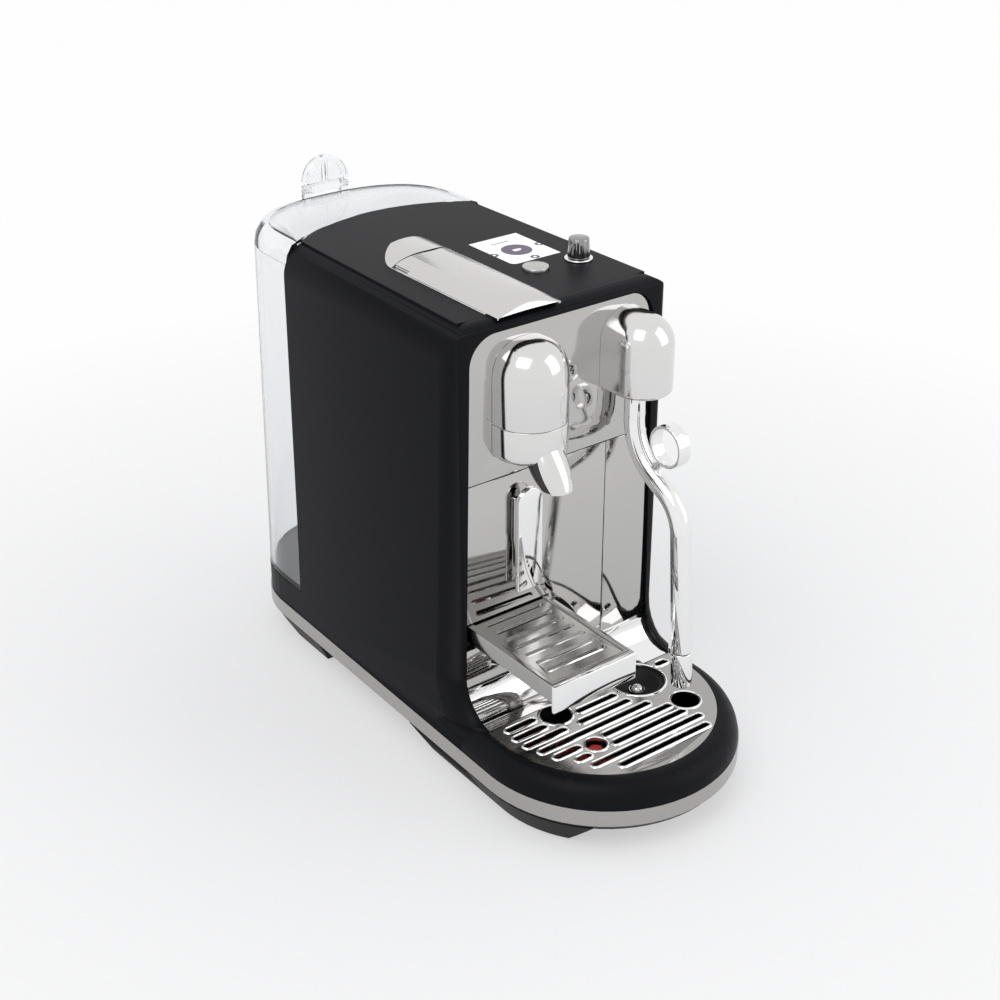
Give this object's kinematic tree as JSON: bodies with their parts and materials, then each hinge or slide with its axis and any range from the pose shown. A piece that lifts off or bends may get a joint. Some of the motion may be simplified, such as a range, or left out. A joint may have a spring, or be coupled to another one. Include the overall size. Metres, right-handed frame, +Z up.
{
  "type": "pod coffee machine",
  "caption": "Pod coffee machine with a spout head, a swinging steam wand, a slide-out cup support, a round drip tray and a lift-off water tank at the rear.",
  "frame": {"origin": "on the floor, at the middle of the machine seen from above", "axes": "+Z up, +X to the right of someone facing the front, the front faces -Y"},
  "size_m": [0.171, 0.394, 0.325],
  "materials": {
    "casing_black": "satin near-black, faintly blue",
    "dark_plastic": "matt dark grey moulding",
    "brushed": "fine brushed",
    "polished": "mirror polished",
    "satin_head": "satin polished",
    "rubber_black": "matt",
    "liner_black": "glossy",
    "clear_tank": "clear, frosted at top and foot",
    "display_white": "lit, glossy",
    "float_red": "glossy",
    "board_green": "solder-masked",
    "hose_white": "soft, milky",
    "cast_grey": "as cast",
    "pump_grey": "moulded"
  },
  "bodies": {
    "machine": {"base_pan": "dark_plastic", "base_band": "brushed", "base_feet": "rubber_black", "base_screws": "brushed", "cord_gland": "rubber_black", "tank_dock": "casing_black", "casing": "casing_black", "top_panel": "casing_black", "chassis": "dark_plastic", "face_upper": "polished", "face_right": "polished", "splash_plate": "polished", "brew_collar": "satin_head", "brew_cover": "satin_head", "brew_cup": "satin_head", "spout_liner": "liner_black", "needle_plate": "cast_grey", "brew_frame": "dark_plastic", "capsule_chute": "dark_plastic", "steam_collar": "satin_head", "steam_cover": "satin_head", "steam_fork": "dark_plastic", "wand_pin": "brushed", "lever_pin": "brushed", "lever_cap": "brushed", "lever_trim": "polished", "display": "display_white", "display_board": "board_green", "dial_collar": "polished", "pump": "pump_grey", "heater": "cast_grey", "control_board": "board_green", "hoses": "hose_white"},
    "tray": {"tray_basin": "dark_plastic", "tray_rim": "casing_black", "tray_band": "brushed", "tray_feet": "rubber_black", "sensor_well": "dark_plastic", "sensor_button": "polished"},
    "grid": {"drip_grid": "polished"},
    "float": {"float": "float_red"},
    "container": {"container_bin": "dark_plastic", "container_door": "polished", "container_pull": "polished"},
    "cup_support": {"cup_frame": "polished", "cup_grid": "brushed", "cup_plate": "polished"},
    "lever": {"lever": "brushed"},
    "cage": {"capsule_cage": "brushed"},
    "dial": {"dial": "polished"},
    "start_button": {"start_button": "brushed"},
    "wand": {"wand_tube": "polished", "wand_ring": "polished", "wand_tip": "polished"},
    "tank": {"water_tank": "clear_tank", "tank_valve": "dark_plastic"},
    "lid": {"tank_lid": "clear_tank"},
    "handle": {"tank_handle": "clear_tank"}
  },
  "joints": [
    {"name": "tray_slide", "type": "slide", "parent": "machine", "child": "tray", "axis": [0, -1, 0], "range_m": [0, 0.15]},
    {"name": "grid_lift", "type": "slide", "parent": "tray", "child": "grid", "axis": [0, 0, 1], "range_m": [0, 0.005]},
    {"name": "float_rise", "type": "slide", "parent": "tray", "child": "float", "axis": [0, 0, 1], "range_m": [0, 0.006]},
    {"name": "container_slide", "type": "slide", "parent": "machine", "child": "container", "axis": [0, -1, 0], "range_m": [0, 0.15]},
    {"name": "support_slide", "type": "slide", "parent": "container", "child": "cup_support", "axis": [0, -1, 0], "range_m": [-0.083, 0]},
    {"name": "lever_turn", "type": "hinge", "parent": "machine", "child": "lever", "pos_m": [-0.0255, 0.0225, 0.2965], "axis": [-1, 0, 0], "range_deg": [0, 37.8]},
    {"name": "cage_slide", "type": "slide", "parent": "machine", "child": "cage", "axis": [0, 1, 0], "range_m": [0, 0.0245]},
    {"name": "dial_turn", "type": "hinge", "parent": "machine", "child": "dial", "pos_m": [0.051, -0.019, 0.305], "axis": [0, 0, 1], "continuous": true},
    {"name": "start_press", "type": "slide", "parent": "machine", "child": "start_button", "axis": [0, 0, -1], "range_m": [0, 0.0015], "stiffness_N_per_m": 300, "springref_m": -0.001},
    {"name": "wand_swing", "type": "hinge", "parent": "machine", "child": "wand", "pos_m": [0.0465, -0.0796, 0.2485], "axis": [-1, 0, 0], "range_deg": [0, 30]},
    {"name": "tank_lift", "type": "slide", "parent": "machine", "child": "tank", "axis": [0, 0, 1], "range_m": [0, 0.2]},
    {"name": "lid_lift", "type": "slide", "parent": "tank", "child": "lid", "axis": [0, 0, 1], "range_m": [0, 0.06]},
    {"name": "handle_fold", "type": "hinge", "parent": "lid", "child": "handle", "pos_m": [0, 0.1865, 0.303], "axis": [1, 0, 0], "range_deg": [0, 85]}
  ],
  "couplings": [
    {"joint": "cage_slide", "follows": "lever_turn", "m_per_rad": 0.037}
  ]
}
